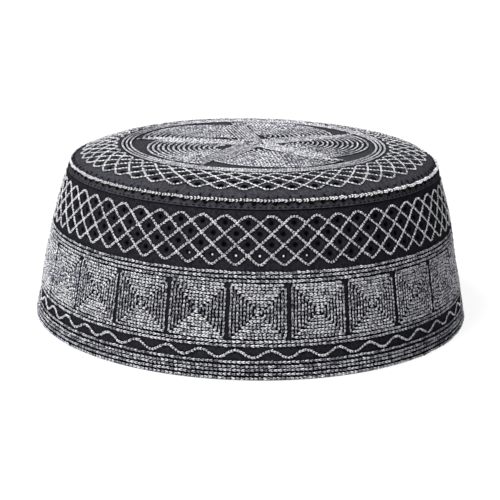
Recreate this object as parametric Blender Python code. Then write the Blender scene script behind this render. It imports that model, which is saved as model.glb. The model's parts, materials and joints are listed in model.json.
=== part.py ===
"""A round cap of stiff black cotton with a flat crown, a tapered side band and raised silver chain stitch.

The front of the cap faces -Y, up is +Z, and the middle of its rim lies on the origin.
Angles run in degrees from the front, positive towards +X.
"""

import math
from collections import namedtuple

import bmesh
import bpy

MM = 0.001

# Side band: a wall that leans in from the rim to the seam, a little barrel-shaped.
RIM_RADIUS = 94.4 * MM
SEAM_RADIUS = 78.5 * MM
SEAM_HEIGHT = 66.9 * MM
BELLY = 1.65 * MM
BELLY_SKEW = 1.17 * MM
BAND_CLOTH = 2.0 * MM
BAND_ROWS = 7
COLUMNS = 60

# Crown: a flat-topped panel whose edge is turned down over the top of the band.
CROWN_CLOTH = 1.5 * MM
LIP_DROP = 3.0 * MM
LIP_STANDS_OUT = 0.4 * MM
TUCK_HEIGHT = 2.2 * MM

# Clearance between pieces that touch on the real cap.
SEAT = 0.3 * MM
THREAD = 0.6 * MM

# Degrees between two faces from which their edge stays sharp.
SHARP_ANGLE = 40.0

# Eyelets of the lattice: real holes in the two lower rows, the finer rows above are left whole.
EYELET_RADIUS = 0.55 * MM
EYELETS_IN_A_ROW = 58
EYELET_FIRST_ANGLE = 2.1
EYELET_ROW_HEIGHTS = (47.0 * MM, 51.0 * MM)
PIN_SIDES = 6
PIN_DEPTH = 6.0 * MM

# Embroidered squares round the band.
SQUARES = 24
SQUARE_FIRST_ANGLE = 1.8
SQUARE_SHARE = 0.945
SQUARE_LOW = 16.4 * MM
SQUARE_HIGH = 36.2 * MM
SQUARE_STEPS = 3
SQUARE_CORNER = 0.12

# Rosette on the crown.
PETALS = 5
PETAL_FIRST_ANGLE = 12.0
HEART_RADIUS = 3.2 * MM
HEART_SIDES = 15

Dent = namedtuple("Dent", "angle height push half_angle half_height")
DENTS = (
    Dent(angle=92.0, height=28.0 * MM, push=-0.6 * MM, half_angle=50.0, half_height=16.0 * MM),
    Dent(angle=85.0, height=66.0 * MM, push=0.5 * MM, half_angle=60.0, half_height=9.0 * MM),
)

Slump = namedtuple("Slump", "angle radius drop half_angle half_width")
SLUMPS = (
    Slump(angle=-100.0, radius=72.0 * MM, drop=1.0 * MM, half_angle=75.0, half_width=12.0 * MM),
    Slump(angle=80.0, radius=72.0 * MM, drop=-0.4 * MM, half_angle=60.0, half_width=12.0 * MM),
)

CrownRow = namedtuple("CrownRow", "radius rise")
CROWN_SECTION = (
    CrownRow(radius=0.0, rise=6.5 * MM),
    CrownRow(radius=30.0 * MM, rise=6.4 * MM),
    CrownRow(radius=58.0 * MM, rise=6.1 * MM),
    CrownRow(radius=65.0 * MM, rise=5.6 * MM),
    CrownRow(radius=70.5 * MM, rise=4.5 * MM),
    CrownRow(radius=74.5 * MM, rise=2.95 * MM),
    CrownRow(radius=77.2 * MM, rise=1.25 * MM),
    CrownRow(radius=78.5 * MM, rise=0.0),
)

RowBand = namedtuple("RowBand", "name low high")
ROW_BANDS = (
    RowBand(name="hem_rows", low=0.5 * MM, high=8.0 * MM),
    RowBand(name="lower_rows", low=12.9 * MM, high=15.8 * MM),
    RowBand(name="upper_rows", low=37.0 * MM, high=41.6 * MM),
)

CrownRing = namedtuple("CrownRing", "name inner outer")
CROWN_RINGS = (CrownRing(name="crown_rows", inner=52.1 * MM, outer=57.2 * MM),)

PetalRow = namedtuple("PetalRow", "reach half_width")
PETAL_SECTION = (
    PetalRow(reach=5.0 * MM, half_width=0.9 * MM),
    PetalRow(reach=12.0 * MM, half_width=5.0 * MM),
    PetalRow(reach=20.0 * MM, half_width=12.0 * MM),
    PetalRow(reach=28.0 * MM, half_width=18.6 * MM),
    PetalRow(reach=34.0 * MM, half_width=22.8 * MM),
    PetalRow(reach=38.5 * MM, half_width=24.6 * MM),
    PetalRow(reach=42.5 * MM, half_width=24.0 * MM),
    PetalRow(reach=46.0 * MM, half_width=19.8 * MM),
    PetalRow(reach=49.0 * MM, half_width=11.0 * MM),
)
PETAL_REACH = 50.6 * MM


def fade(distance):
    """1 at the middle of a dent, falling smoothly to 0 at its edge, a distance of 1."""
    return math.cos(math.pi / 2 * min(1.0, distance)) ** 2


def angle_between(a, b):
    """Degrees from b to a the short way round."""
    return (a - b + 180.0) % 360.0 - 180.0


def wall_radius(height):
    """Radius of the band's outer cloth, without its dents."""
    t = height / SEAM_HEIGHT
    hump = 4 * t * (1 - t)
    return RIM_RADIUS + (SEAM_RADIUS - RIM_RADIUS) * t + hump * (BELLY + BELLY_SKEW * (2 * t - 1))


def dent_push(angle, height):
    """How far the wall is pushed out or in at one place."""
    total = 0.0
    for dent in DENTS:
        around = angle_between(angle, dent.angle) / dent.half_angle
        along = (height - dent.height) / dent.half_height
        total += dent.push * fade(math.hypot(around, along))
    return total


def slump_drop(angle, radius):
    """How far the crown's shoulder sinks at one place."""
    total = 0.0
    for slump in SLUMPS:
        around = angle_between(angle, slump.angle) / slump.half_angle
        across = (radius - slump.radius) / slump.half_width
        total += slump.drop * fade(math.hypot(around, across))
    return total


def crown_rise(radius):
    """Height of the crown's outer cloth above the seam at one radius, read from its section."""
    for inner, outer in zip(CROWN_SECTION, CROWN_SECTION[1:]):
        if radius <= outer.radius:
            share = (radius - inner.radius) / (outer.radius - inner.radius)
            return inner.rise + share * (outer.rise - inner.rise)
    return 0.0


def place(angle, radius, height):
    """A point of the cap, in its dents and slumps."""
    if height > SEAM_HEIGHT:
        height -= slump_drop(angle, radius)
    radius += dent_push(angle, height)
    turn = math.radians(angle)
    return (radius * math.sin(turn), -radius * math.cos(turn), height)


def on_wall(angle, height, stands_out):
    """A point that stands out from the band's cloth."""
    return place(angle, wall_radius(height) + stands_out, height)


def on_crown(x, y, stands_up):
    """A point that stands above the crown's cloth, x and y in the plan of the cap."""
    radius = math.hypot(x, y)
    angle = math.degrees(math.atan2(x, -y))
    return place(angle, radius, SEAM_HEIGHT + crown_rise(radius) + stands_up)


def make_material(name, colour, roughness, metallic):
    material = bpy.data.materials.new(name)
    material.use_nodes = True
    shader = material.node_tree.nodes["Principled BSDF"]
    shader.inputs["Base Color"].default_value = (*colour, 1.0)
    shader.inputs["Roughness"].default_value = roughness
    shader.inputs["Metallic"].default_value = metallic
    return material


def add_object(name, bm, material, parent):
    """Closes the bmesh into an object of the cap, shaded smooth with its edges kept sharp."""
    bmesh.ops.recalc_face_normals(bm, faces=bm.faces)
    mesh = bpy.data.meshes.new(name)
    bm.to_mesh(mesh)
    bm.free()
    mesh.shade_smooth()
    mesh.set_sharp_from_angle(angle=math.radians(SHARP_ANGLE))
    mesh.materials.append(material)
    obj = bpy.data.objects.new(name, mesh)
    bpy.context.collection.objects.link(obj)
    obj.parent = parent
    return obj


def bridge(bm, first, second):
    """Quads between two loops of as many vertices."""
    count = len(first)
    for i in range(count):
        j = (i + 1) % count
        bm.faces.new((first[i], first[j], second[j], second[i]))


def add_loop(bm, section_point, columns):
    """One loop of vertices round the cap at a (radius, height) of its section."""
    radius, height = section_point
    return [bm.verts.new(place(360.0 * i / columns, radius, height)) for i in range(columns)]


def turned_ring(section, columns):
    """A closed ring turned from a closed section of (radius, height) points."""
    bm = bmesh.new()
    loops = [add_loop(bm, point, columns) for point in section]
    for first, second in zip(loops, loops[1:] + loops[:1]):
        bridge(bm, first, second)
    return bm


def turned_cap(outer, inner, columns):
    """A closed shell turned from an outer and an inner line of section points, each from the axis to the edge."""
    bm = bmesh.new()
    edge_loops = []
    for line in (outer, inner):
        pole = bm.verts.new((0.0, 0.0, line[0][1]))
        loops = [add_loop(bm, point, columns) for point in line[1:]]
        for i in range(columns):
            bm.faces.new((pole, loops[0][i], loops[0][(i + 1) % columns]))
        for first, second in zip(loops, loops[1:]):
            bridge(bm, first, second)
        edge_loops.append(loops[-1])
    bridge(bm, *edge_loops)
    return bm


def slab(under, over):
    """A closed slab between two grids of points, each a list of rows."""
    bm = bmesh.new()
    rows, columns = len(under), len(under[0])
    grids = [[[bm.verts.new(point) for point in row] for row in grid] for grid in (under, over)]
    for grid in grids:
        for r in range(rows - 1):
            for c in range(columns - 1):
                bm.faces.new((grid[r][c], grid[r][c + 1], grid[r + 1][c + 1], grid[r + 1][c]))
    rims = []
    for grid in grids:
        rim = grid[0][:-1] + [row[-1] for row in grid[:-1]] + grid[-1][:0:-1]
        rims.append(rim + [row[0] for row in grid[:0:-1]])
    bridge(bm, *rims)
    return bm


def offset_section(section, distance):
    """The section moved inwards along its own normals; both ends keep to the axis and the edge line."""
    moved = []
    for i, (radius, height) in enumerate(section):
        before = section[max(i - 1, 0)]
        after = section[min(i + 1, len(section) - 1)]
        run, rise = after[0] - before[0], after[1] - before[1]
        length = math.hypot(run, rise)
        shift = distance / length
        moved.append((max(0.0, radius + rise * shift), height - run * shift))
    moved[0] = (0.0, section[0][1] - distance)
    return moved


def band_section():
    """Closed section of the side band: up the outside, over the tucked top and down the inside."""
    lip_height = SEAM_HEIGHT - LIP_DROP
    ledge = lip_height - SEAT
    heights = [ledge * i / BAND_ROWS for i in range(BAND_ROWS + 1)]
    outside = [(wall_radius(height), height) for height in heights]
    tuck_in = CROWN_CLOTH + SEAT
    tucked_top = lip_height + TUCK_HEIGHT - 2 * SEAT
    tucked = [
        (wall_radius(lip_height) - tuck_in, lip_height),
        (wall_radius(tucked_top) - tuck_in, tucked_top),
        (wall_radius(tucked_top) - tuck_in - BAND_CLOTH, tucked_top),
    ]
    inside = [(radius - BAND_CLOTH, height) for radius, height in outside[:-1]]
    return outside + tucked + inside[::-1]


def eyelet_pins():
    """The cutter: a pin through the cloth at each eyelet of the two lower rows."""
    bm = bmesh.new()
    pitch = 360.0 / EYELETS_IN_A_ROW
    for row, height in enumerate(EYELET_ROW_HEIGHTS):
        middle = wall_radius(height) - BAND_CLOTH / 2
        for i in range(EYELETS_IN_A_ROW):
            angle = EYELET_FIRST_ANGLE + pitch * (i + row / 2)
            turn = math.radians(angle)
            across = (math.cos(turn), math.sin(turn))
            ends = []
            for reach in (middle - PIN_DEPTH / 2, middle + PIN_DEPTH / 2):
                ring = []
                for side in range(PIN_SIDES):
                    corner = 2 * math.pi * side / PIN_SIDES
                    shift = EYELET_RADIUS * math.cos(corner)
                    x = reach * math.sin(turn) + shift * across[0]
                    y = -reach * math.cos(turn) + shift * across[1]
                    ring.append(bm.verts.new((x, y, height + EYELET_RADIUS * math.sin(corner))))
                ends.append(ring)
            bridge(bm, *ends)
            bm.faces.new(ends[0])
            bm.faces.new(ends[1])
    return bm


def build_side_band(cloth, parent):
    band = add_object("side_band", turned_ring(band_section(), COLUMNS), cloth, parent)
    pins = add_object("eyelet_pins", eyelet_pins(), cloth, parent)
    pins.hide_render = True
    pins.display_type = "WIRE"
    cut = band.modifiers.new("eyelets", "BOOLEAN")
    cut.operation = "DIFFERENCE"
    cut.object = pins


def build_crown(cloth, parent):
    outer = [(row.radius, SEAM_HEIGHT + row.rise) for row in CROWN_SECTION]
    lip_height = SEAM_HEIGHT - LIP_DROP
    outer.append((wall_radius(lip_height) + LIP_STANDS_OUT, lip_height))
    inner = offset_section(outer, CROWN_CLOTH)
    inner[-1] = (outer[-1][0] - CROWN_CLOTH, lip_height)
    add_object("crown", turned_cap(outer, inner, COLUMNS), cloth, parent)


def build_row_bands(thread, parent):
    """The bands of chain stitch that run round the wall."""
    for band in ROW_BANDS:
        section = [
            (wall_radius(band.low) + SEAT + THREAD, band.low),
            (wall_radius(band.high) + SEAT + THREAD, band.high),
            (wall_radius(band.high) + SEAT, band.high),
            (wall_radius(band.low) + SEAT, band.low),
        ]
        add_object(band.name, turned_ring(section, COLUMNS), thread, parent)


def build_seam_chain(thread, parent):
    """The bright chain that covers the turned edge where the crown meets the band."""
    under = SEAM_RADIUS + SEAT + LIP_STANDS_OUT / 2
    section = [
        (under + THREAD, SEAM_HEIGHT - THREAD),
        (under + THREAD, SEAM_HEIGHT + THREAD),
        (under, SEAM_HEIGHT + THREAD),
        (under + SEAT, SEAM_HEIGHT - THREAD),
    ]
    add_object("seam_chain", turned_ring(section, COLUMNS), thread, parent)


def build_crown_rows(thread, parent):
    """The rings of chain stitch round the rosette."""
    for ring in CROWN_RINGS:
        section = []
        for radius, lift in (
            (ring.outer, SEAT),
            (ring.outer, SEAT + THREAD),
            (ring.inner, SEAT + THREAD),
            (ring.inner, SEAT),
        ):
            section.append((radius, SEAM_HEIGHT + crown_rise(radius) + lift))
        add_object(ring.name, turned_ring(section, COLUMNS), thread, parent)


def build_squares(thread, parent):
    """One raised square of chain stitch in each pitch round the band, its corners rounded off."""
    pitch = 360.0 / SQUARES
    half = pitch * SQUARE_SHARE / 2
    middle_height = (SQUARE_LOW + SQUARE_HIGH) / 2
    half_height = (SQUARE_HIGH - SQUARE_LOW) / 2
    shares = [2 * i / SQUARE_STEPS - 1 for i in range(SQUARE_STEPS + 1)]
    for number in range(SQUARES):
        centre = SQUARE_FIRST_ANGLE + pitch * number
        grids = []
        for lift in (SEAT, SEAT + THREAD):
            grid = []
            for up in shares:
                row = []
                for along in shares:
                    at_corner = abs(up) == 1 and abs(along) == 1
                    keep = 1 - SQUARE_CORNER if at_corner else 1
                    height = middle_height + half_height * up * keep
                    row.append(on_wall(centre + half * along * keep, height, lift))
                grid.append(row)
            grids.append(grid)
        add_object(f"square_{number + 1:02d}", slab(*grids), thread, parent)


def petal_rows(axis_angle, lift):
    """Rows of three points across a petal, from its tip to its far end."""
    turn = math.radians(axis_angle)
    along = (math.sin(turn), -math.cos(turn))
    aside = (math.cos(turn), math.sin(turn))
    rows = []
    for row in PETAL_SECTION + (PetalRow(PETAL_REACH, PETAL_SECTION[-1].half_width / 2),):
        points = []
        for side in (-1, 0, 1):
            x = along[0] * row.reach + aside[0] * row.half_width * side
            y = along[1] * row.reach + aside[1] * row.half_width * side
            points.append(on_crown(x, y, lift))
        rows.append(points)
    return rows


def build_petals(thread, parent):
    """The petals of the rosette, side by side round its heart."""
    for number in range(PETALS):
        angle = PETAL_FIRST_ANGLE + 360.0 * number / PETALS
        body = slab(petal_rows(angle, SEAT), petal_rows(angle, SEAT + THREAD))
        add_object(f"petal_{number + 1}", body, thread, parent)


def build_heart(thread, parent):
    """The small round knot of chain stitch in the middle of the rosette."""
    base = SEAM_HEIGHT + CROWN_SECTION[0].rise + SEAT
    low, high = base, base + THREAD
    outer = [(0.0, high), (HEART_RADIUS, high)]
    inner = [(0.0, low), (HEART_RADIUS, low)]
    add_object("rosette_heart", turned_cap(outer, inner, HEART_SIDES), thread, parent)


def main():
    for obj in list(bpy.data.objects):
        bpy.data.objects.remove(obj, do_unlink=True)
    cloth = make_material("black_cotton", colour=(0.018, 0.017, 0.018), roughness=0.85, metallic=0.0)
    thread = make_material("silver_thread", colour=(0.42, 0.42, 0.47), roughness=0.45, metallic=0.0)
    cap = bpy.data.objects.new("cap", None)
    bpy.context.collection.objects.link(cap)
    build_side_band(cloth, cap)
    build_crown(cloth, cap)
    build_row_bands(thread, cap)
    build_seam_chain(thread, cap)
    build_crown_rows(thread, cap)
    build_squares(thread, cap)
    build_petals(thread, cap)
    build_heart(thread, cap)


main()
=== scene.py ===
"""Looks of a stiff black cotton cap embroidered in silver chain stitch.

The two cloth panels are shells with real eyelets. Every chain stitch is a small looped mesh, and Geometry
Nodes lay them along the paths that the maker's needle took: rows, a wave, squares, lattices and a rosette.
Lengths are metres, angles are degrees from the front of the cap, positive towards +X, and up is +Z.
"""

from __future__ import annotations

import json
import logging
import math
from dataclasses import dataclass
from enum import Enum

import bmesh
import bpy
import numpy as np
from mathutils import Matrix, Vector

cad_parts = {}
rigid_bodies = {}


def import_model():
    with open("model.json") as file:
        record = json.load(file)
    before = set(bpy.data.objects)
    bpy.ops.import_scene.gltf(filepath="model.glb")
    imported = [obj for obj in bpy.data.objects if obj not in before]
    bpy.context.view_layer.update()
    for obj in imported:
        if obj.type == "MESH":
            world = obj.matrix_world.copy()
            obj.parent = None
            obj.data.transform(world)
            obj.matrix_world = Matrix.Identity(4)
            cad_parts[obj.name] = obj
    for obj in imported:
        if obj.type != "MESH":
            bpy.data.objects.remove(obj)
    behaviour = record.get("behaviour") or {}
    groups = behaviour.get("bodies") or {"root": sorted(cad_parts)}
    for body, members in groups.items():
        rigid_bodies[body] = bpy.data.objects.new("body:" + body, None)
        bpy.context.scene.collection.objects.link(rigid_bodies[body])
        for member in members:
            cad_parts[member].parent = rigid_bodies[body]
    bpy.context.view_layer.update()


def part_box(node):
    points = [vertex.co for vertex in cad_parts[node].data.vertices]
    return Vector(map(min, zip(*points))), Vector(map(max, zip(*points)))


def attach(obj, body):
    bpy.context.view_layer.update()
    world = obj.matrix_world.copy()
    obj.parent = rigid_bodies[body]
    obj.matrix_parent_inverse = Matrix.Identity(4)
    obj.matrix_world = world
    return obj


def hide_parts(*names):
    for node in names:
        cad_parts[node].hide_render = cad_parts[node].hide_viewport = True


MM = 0.001
ROOT_BODY = "root"
NORMAL_ATTRIBUTE = "cloth_normal"
FULLNESS_AND_LIGHT_ATTRIBUTE = "fullness"
TONE_ATTRIBUTE = "tone"
CLOTH_UV = "cloth"
TWIST_UV = "twist"
# Points of a needle path in one round of the cap.
ROUND_STEPS = 720
# Rays that each ambient occlusion node of the painted shade sends, in hollows of the cloth and between
# threads.
PAINTED_SHADE_RAYS = 4
# Points in one rounded corner of a needle path.
CORNER_POINTS = 6
# A hand's drift adds up waves, this many in one round of the cap, that together get about this high.
DRIFT_WAVES = (3, 7, 16, 29, 47)
DRIFT_HEIGHT = 2.5
# Type names of the nodes that are used most.
MATH = "ShaderNodeMath"
VECTOR_MATH = "ShaderNodeVectorMath"
MIX = "ShaderNodeMix"
NOISE = "ShaderNodeTexNoise"
BUMP = "ShaderNodeBump"
JOIN = "ShaderNodeCombineXYZ"
SPLIT = "ShaderNodeSeparateXYZ"
COORDINATES = "ShaderNodeTexCoord"
OCCLUSION = "ShaderNodeAmbientOcclusion"
ALIGN = "FunctionNodeAlignRotationToVector"
RANDOM = "FunctionNodeRandomValue"
ATTRIBUTE = "GeometryNodeInputNamedAttribute"

log = logging.getLogger("cap")


class Slot(str, Enum):
    """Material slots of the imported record."""

    CLOTH = "black_cotton"
    THREAD = "silver_thread"


class Heading(Enum):
    """Which way a row of chain stitch was sewn round the cap."""

    RIGHTWARDS = 1
    LEFTWARDS = -1


def linear(hex_colour: str) -> tuple[float, float, float, float]:
    """Turns an sRGB hex colour to linear light.

    Args:
        hex_colour: six hex digits, such as "b9b9c6".

    Returns:
        Red, green, blue and an alpha of 1.
    """
    channels = []
    for start in (0, 2, 4):
        value = int(hex_colour[start : start + 2], 16) / 255
        channels.append(value / 12.92 if value <= 0.04045 else ((value + 0.055) / 1.055) ** 2.4)
    return (channels[0], channels[1], channels[2], 1.0)


def set_inputs(tree: bpy.types.NodeTree, node: bpy.types.Node, inputs: dict | tuple) -> None:
    """Sets or links a node's inputs.

    Args:
        tree: the node's tree.
        node: the node.
        inputs: values in order, or by name or number. Each is a constant, an output socket or a node, which
            stands for its first output.
    """
    for key, value in inputs.items() if isinstance(inputs, dict) else enumerate(inputs):
        source = value.outputs[0] if isinstance(value, bpy.types.Node) else value
        if isinstance(source, bpy.types.NodeSocket):
            tree.links.new(source, node.inputs[key])
        else:
            node.inputs[key].default_value = source


def add_node(
    tree: bpy.types.NodeTree, kind: str, inputs: dict | tuple = (), **settings: object
) -> bpy.types.Node:
    """Adds a node with its settings and links.

    Args:
        tree: the material's or the geometry's node tree.
        kind: the node's type name.
        inputs: its inputs, as set_inputs takes them.
        settings: the node's own properties.

    Returns:
        The new node.
    """
    node = tree.nodes.new(kind)
    for name, value in settings.items():
        setattr(node, name, value)
    set_inputs(tree, node, inputs)
    return node


def new_material(name: str) -> tuple[bpy.types.Material, bpy.types.NodeTree, bpy.types.Node]:
    """Starts a material, and hands back its tree and its Principled shader too."""
    material = bpy.data.materials.new(name)
    material.use_nodes = True
    return material, material.node_tree, material.node_tree.nodes["Principled BSDF"]


@dataclass(frozen=True)
class BlackCotton:
    """Plain-woven cotton, piece-dyed black, a little grey on its raised yarns, with next to no gloss."""

    name: str = "black_cotton_poplin"
    yarn_dark: str = "020203"
    yarn_light: str = "4e4d54"
    roughness: float = 0.86
    gloss: float = 0.02
    # Painted shade: seen at a slant the cloth's colour is darkened by up to this share.
    slant_painted_shade: float = 0.0
    # Painted shade by ambient occlusion: between stitches and in an eyelet's pinch the cloth's colour goes
    # nearly black. How far that reaches, how fast.
    hollow_painted_shade_reach: float = 3.0 * MM
    hollow_painted_shade_power: float = 6.0
    # Painted shade: the wrong side, inside the cap, keeps this share of the colour, so that it looks dark
    # through the eyelets.
    painted_wrong_side_share: float = 0.2
    # The nap mottles the cloth: how finely, how strongly, and its share beside the weave's.
    nap_scale: float = 900.0
    nap_contrast: float = 2.6
    nap_share: float = 0.55
    # Real poplin has about 0.3 mm between yarns: drawn at 0.5 mm so that it shows at all.
    yarn_spacing: float = 0.5 * MM
    yarn_relief: float = 0.09 * MM
    pucker_size: float = 6.0 * MM
    pucker_relief: float = 0.6 * MM

    def material(self) -> bpy.types.Material:
        """Builds the material: over-and-under yarns from the cloth's own UV map, in metres.

        Returns:
            The finished material.
        """
        material, tree, shader = new_material(self.name)
        black, white = linear("000000"), linear("ffffff")
        uv = add_node(tree, "ShaderNodeUVMap", uv_map=CLOTH_UV)
        place = add_node(tree, COORDINATES).outputs["Object"]
        ridges = []
        for across in add_node(tree, SPLIT, (uv,)).outputs[:2]:
            turns = add_node(tree, MATH, (across, math.pi / self.yarn_spacing), operation="MULTIPLY")
            wave = add_node(tree, MATH, (turns,), operation="SINE")
            ridges.append(add_node(tree, MATH, (wave,), operation="ABSOLUTE"))
        checks = {"Vector": uv, "Scale": 1 / self.yarn_spacing, "Color1": black, "Color2": white}
        over = add_node(tree, "ShaderNodeTexChecker", checks)
        weave = add_node(tree, MIX, {0: over, 2: ridges[0], 3: ridges[1]}, data_type="FLOAT")
        nap = add_node(tree, NOISE, {"Vector": place, "Scale": self.nap_scale, "Detail": 3.0})
        stretch = (nap, self.nap_contrast, (1 - self.nap_contrast) / 2)
        mottled = add_node(tree, MATH, stretch, operation="MULTIPLY_ADD", use_clamp=True)
        shade = add_node(tree, MIX, {0: self.nap_share, 2: weave, 3: mottled}, data_type="FLOAT")
        yarns = {0: shade, 6: linear(self.yarn_dark), 7: linear(self.yarn_light)}
        colour = add_node(tree, MIX, yarns, data_type="RGBA").outputs[2]
        pucker = add_node(tree, NOISE, {"Vector": place, "Scale": 1 / self.pucker_size, "Detail": 2.0})
        soft = add_node(tree, BUMP, {"Height": pucker, "Distance": self.pucker_relief, "Strength": 1.0})
        relief = {"Height": weave, "Distance": self.yarn_relief, "Strength": 1.0, "Normal": soft}
        # Painted shade: the colour goes towards black in hollows, at a slant and on the wrong side.
        seen = {0: self.painted_shade_share(tree, place), 6: black, 7: colour}
        surface = {
            "Base Color": add_node(tree, MIX, seen, data_type="RGBA").outputs[2],
            "Normal": add_node(tree, BUMP, relief),
            "Roughness": self.roughness,
            "Specular IOR Level": self.gloss,
        }
        set_inputs(tree, shader, surface)
        return material

    def painted_shade_share(self, tree: bpy.types.NodeTree, place: bpy.types.NodeSocket) -> bpy.types.Node:
        """Adds the nodes of the painted shade: in hollows, at a slant and on the wrong side.

        Args:
            tree: the material's tree.
            place: the place in the object's own coordinates.

        Returns:
            A node that is 1 on open cloth of the right side, seen face-on, and falls towards 0 where shade is
            painted.
        """
        around = add_node(tree, OCCLUSION, {"Distance": self.hollow_painted_shade_reach}, samples=PAINTED_SHADE_RAYS)
        hollow_shade = add_node(tree, MATH, (around.outputs["AO"], self.hollow_painted_shade_power), operation="POWER")
        facing = add_node(tree, "ShaderNodeNewGeometry").outputs["Normal"]
        outward = add_node(tree, VECTOR_MATH, (facing, place), operation="DOT_PRODUCT").outputs["Value"]
        right_side = add_node(tree, MATH, (outward, 0.0), operation="GREATER_THAN")
        sides = (right_side, 1 - self.painted_wrong_side_share, self.painted_wrong_side_share)
        side_share = add_node(tree, MATH, sides, operation="MULTIPLY_ADD")
        slant = add_node(tree, "ShaderNodeLayerWeight", {"Blend": 0.5}).outputs["Facing"]
        kept = add_node(tree, MATH, (slant, -self.slant_painted_shade, 1.0), operation="MULTIPLY_ADD")
        lit = add_node(tree, MATH, (hollow_shade, kept), operation="MULTIPLY")
        return add_node(tree, MATH, (lit, side_share), operation="MULTIPLY")


@dataclass(frozen=True)
class BlackThread:
    """Black sewing cotton, newer and blacker than the cloth, so that each stitch shows as a dark notch."""

    colour: str = "030303"
    roughness: float = 0.75
    gloss: float = 0.05
    fibre_scale: float = 4000.0
    fibre_relief: float = 0.05 * MM

    def material(self) -> bpy.types.Material:
        """Builds the material.

        Returns:
            The finished material.
        """
        material, tree, shader = new_material("black_sewing_thread")
        place = add_node(tree, COORDINATES).outputs["Object"]
        fibres = add_node(tree, NOISE, {"Vector": place, "Scale": self.fibre_scale})
        surface = {
            "Base Color": linear(self.colour),
            "Normal": add_node(tree, BUMP, {"Height": fibres, "Distance": self.fibre_relief}),
            "Roughness": self.roughness,
            "Specular IOR Level": self.gloss,
        }
        set_inputs(tree, shader, surface)
        return material


@dataclass(frozen=True)
class SilverThread:
    """Two-ply viscose wound with silver foil: satin, with bright flecks painted at random into its colour as
    highlights of the foil.
    """

    name: str = "silver_thread"
    shadow: str = "202026"
    body: str = "a1a1b0"
    fleck: str = "fcfcff"
    # The tones at which the three colours show.
    shadow_tone: float = 0.22
    body_tone: float = 0.48
    fleck_tone: float = 0.80
    roughness: float = 0.4
    metallic: float = 0.4
    # Filaments run along the thread, so a stitch shines across its length and goes dim as it turns.
    anisotropy: float = 0.8
    across_the_thread: float = 0.25
    ply_turns: float = 2.2
    # Painted shade and light across the plies: how much a ply's tone rises and falls as it winds.
    ply_painted_shade: float = 0.07
    ply_relief: float = 0.10 * MM
    ply_strength: float = 0.6
    fleck_size: float = 0.5 * MM
    # How much the flecks, painted highlights, vary the tone of one stitch.
    fleck_contrast: float = 1.6
    # Painted shade: a stitch is darker towards its two ends, where it dives into the cloth: how much, how
    # near them, how suddenly.
    dive_painted_shade: float = 0.4
    dive_reach: float = 1.6
    dive_power: float = 3.0
    middle: float = 0.6
    # Painted shade by ambient occlusion: how far from its neighbours a leg of thread is darkened.
    crevice_painted_shade_reach: float = 0.8 * MM

    def material(self) -> bpy.types.Material:
        """Builds the material: plies wind round each leg on its own UV map, and a tone sets each stitch.

        Returns:
            The finished material.
        """
        material, tree, shader = new_material(self.name)
        uv = add_node(tree, "ShaderNodeUVMap", uv_map=TWIST_UV)
        place = add_node(tree, COORDINATES).outputs["Object"]
        tone = add_node(tree, "ShaderNodeAttribute", attribute_name=TONE_ATTRIBUTE).outputs["Fac"]
        along, across = add_node(tree, SPLIT, (uv,)).outputs[:2]
        wound = add_node(tree, MATH, (along, self.ply_turns, across), operation="MULTIPLY_ADD")
        turns = add_node(tree, MATH, (wound, 2 * math.pi), operation="MULTIPLY")
        ply = add_node(tree, MATH, (turns,), operation="SINE")
        # Painted highlights: bright flecks at random.
        flecks = add_node(tree, NOISE, {"Vector": place, "Scale": 1 / self.fleck_size, "Detail": 1.0})
        centred = add_node(tree, MATH, (flecks, 0.5), operation="SUBTRACT")
        flecked = add_node(tree, MATH, (centred, self.fleck_contrast, tone), operation="MULTIPLY_ADD")
        plied = add_node(tree, MATH, (ply, self.ply_painted_shade, flecked), operation="MULTIPLY_ADD")
        # Painted shade towards the ends of each stitch.
        from_middle = add_node(tree, MATH, (along, self.middle), operation="SUBTRACT")
        out = add_node(tree, MATH, (from_middle,), operation="ABSOLUTE")
        nearing = add_node(tree, MATH, (out, self.dive_reach), operation="MULTIPLY")
        diving = add_node(tree, MATH, (nearing, self.dive_power), operation="POWER")
        lit = add_node(tree, MATH, (diving, -self.dive_painted_shade, plied), operation="MULTIPLY_ADD")
        ramp = add_node(tree, "ShaderNodeValToRGB", (lit,))
        stops = ramp.color_ramp.elements
        stops[0].position, stops[0].color = self.shadow_tone, linear(self.shadow)
        stops[1].position, stops[1].color = self.fleck_tone, linear(self.fleck)
        stops.new(self.body_tone).color = linear(self.body)
        # Painted shade near other threads, by ambient occlusion.
        nearby = {"Color": ramp, "Distance": self.crevice_painted_shade_reach}
        crevice = add_node(tree, OCCLUSION, nearby, samples=PAINTED_SHADE_RAYS)
        relief = {"Height": ply, "Distance": self.ply_relief, "Strength": self.ply_strength}
        surface = {
            "Base Color": crevice.outputs["Color"],
            "Normal": add_node(tree, BUMP, relief),
            "Tangent": add_node(tree, "ShaderNodeTangent", direction_type="UV_MAP", uv_map=TWIST_UV),
            "Roughness": self.roughness,
            "Metallic": self.metallic,
            "Anisotropic": self.anisotropy,
            "Anisotropic Rotation": self.across_the_thread,
        }
        set_inputs(tree, shader, surface)
        return material


@dataclass(frozen=True)
class WhiteBoard:
    """Opal acrylic lit from below: the cap throws next to no shadow, and the board shows through eyelets."""

    colour: str = "606060"
    glow: float = 0.9
    roughness: float = 0.7
    tooth_scale: float = 400.0
    tooth_relief: float = 0.02 * MM

    def material(self) -> bpy.types.Material:
        """Builds the board's material, with the faint tooth of its surface.

        Returns:
            The finished material.
        """
        material, tree, shader = new_material("white_board")
        tooth = add_node(tree, NOISE, {"Scale": self.tooth_scale})
        surface = {
            "Base Color": linear(self.colour),
            "Normal": add_node(tree, BUMP, {"Height": tooth, "Distance": self.tooth_relief}),
            "Roughness": self.roughness,
            "Emission Color": linear("ffffff"),
            "Emission Strength": self.glow,
        }
        set_inputs(tree, shader, surface)
        return material


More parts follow.
